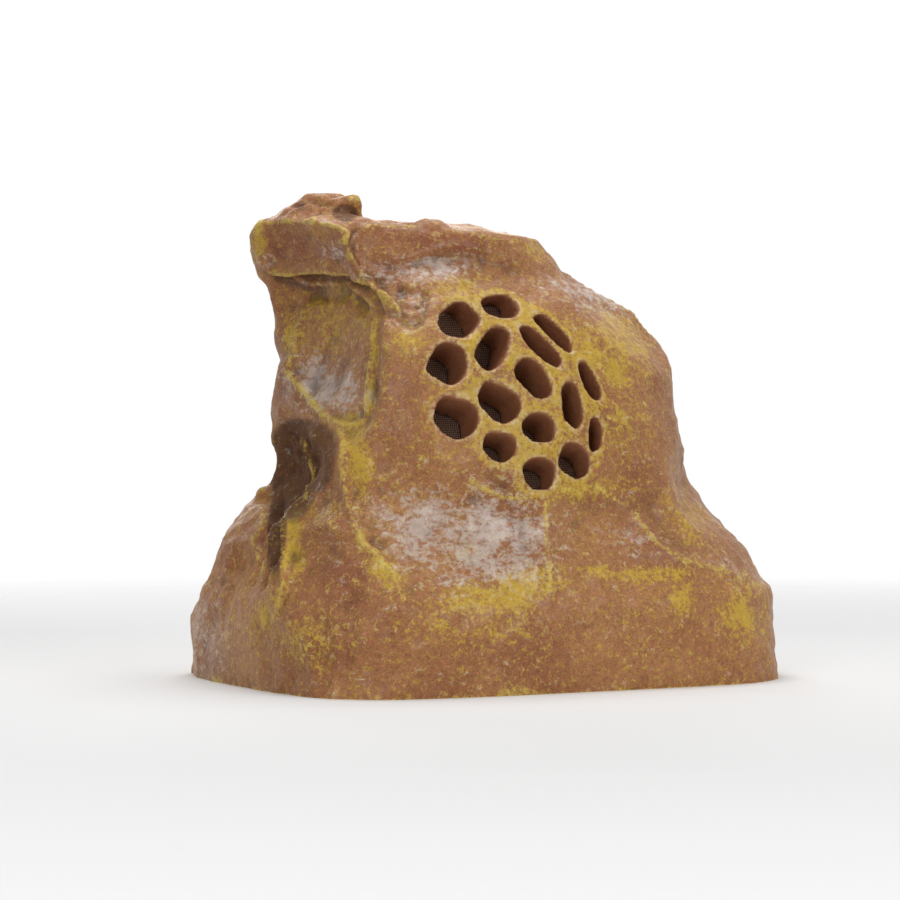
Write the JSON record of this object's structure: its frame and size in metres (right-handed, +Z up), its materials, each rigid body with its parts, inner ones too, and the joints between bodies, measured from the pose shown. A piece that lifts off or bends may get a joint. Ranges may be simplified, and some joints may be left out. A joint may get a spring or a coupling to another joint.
{
  "type": "garden speaker",
  "caption": "Outdoor garden speaker moulded as a weathered boulder, with oval sound holes over a screened cone driver, a screwed base plate and a cable gland at the back.",
  "frame": {"origin": "on the ground, under the middle of the rock's outline", "axes": "+Z up, the sound holes face -Y, +X to the right of someone facing the holes"},
  "size_m": [0.362, 0.29, 0.326],
  "materials": {
    "rock": "glossy weathered paint over moulded resin",
    "base_plate": "moulded, fine grain",
    "foam": "closed-cell foam",
    "rubber": "moulded rubber",
    "screen": "woven wire, dark coated",
    "basket": "black stoved paint",
    "cone": "pressed polypropylene",
    "former": "thin rolled sheet",
    "coil": "enamelled wire winding",
    "spider": "resin-stiffened cloth",
    "motor_steel": "zinc plated",
    "magnet": "ground ferrite",
    "board": "pressed phenolic",
    "brass": "turned",
    "screw_steel": "stainless",
    "lead_red": "flexible insulation",
    "lead_black": "flexible insulation",
    "block": "moulded",
    "gland": "moulded nylon"
  },
  "bodies": {
    "enclosure": {"rock_shell": "rock", "base_plate": "base_plate", "base_gasket": "foam", "base_inserts": "brass", "base_screws": "screw_steel", "mesh_screen": "screen", "spacer_ring": "foam", "front_gasket": "rubber", "driver_inserts": "brass", "driver_screws": "screw_steel", "basket": "basket", "surround": "rubber", "spider": "spider", "top_plate": "motor_steel", "magnet": "magnet", "yoke": "motor_steel", "terminal_board": "board", "terminal_tabs": "brass", "lead_red": "lead_red", "lead_black": "lead_black", "terminal_block": "block", "block_screws": "screw_steel", "gland_body": "gland", "gland_seal": "rubber", "gland_insert": "rubber", "gland_nut": "gland", "gland_locknut": "gland"},
    "cone_assembly": {"cone": "cone", "dust_cap": "cone", "coil_former": "former", "voice_coil": "coil"}
  },
  "joints": [
    {"name": "cone_travel", "type": "slide", "parent": "enclosure", "child": "cone_assembly", "axis": [0, -0.9336, 0.3584], "range_m": [-0.003, 0.003], "stiffness_N_per_m": 2000, "deforming": ["surround", "spider"]}
  ]
}
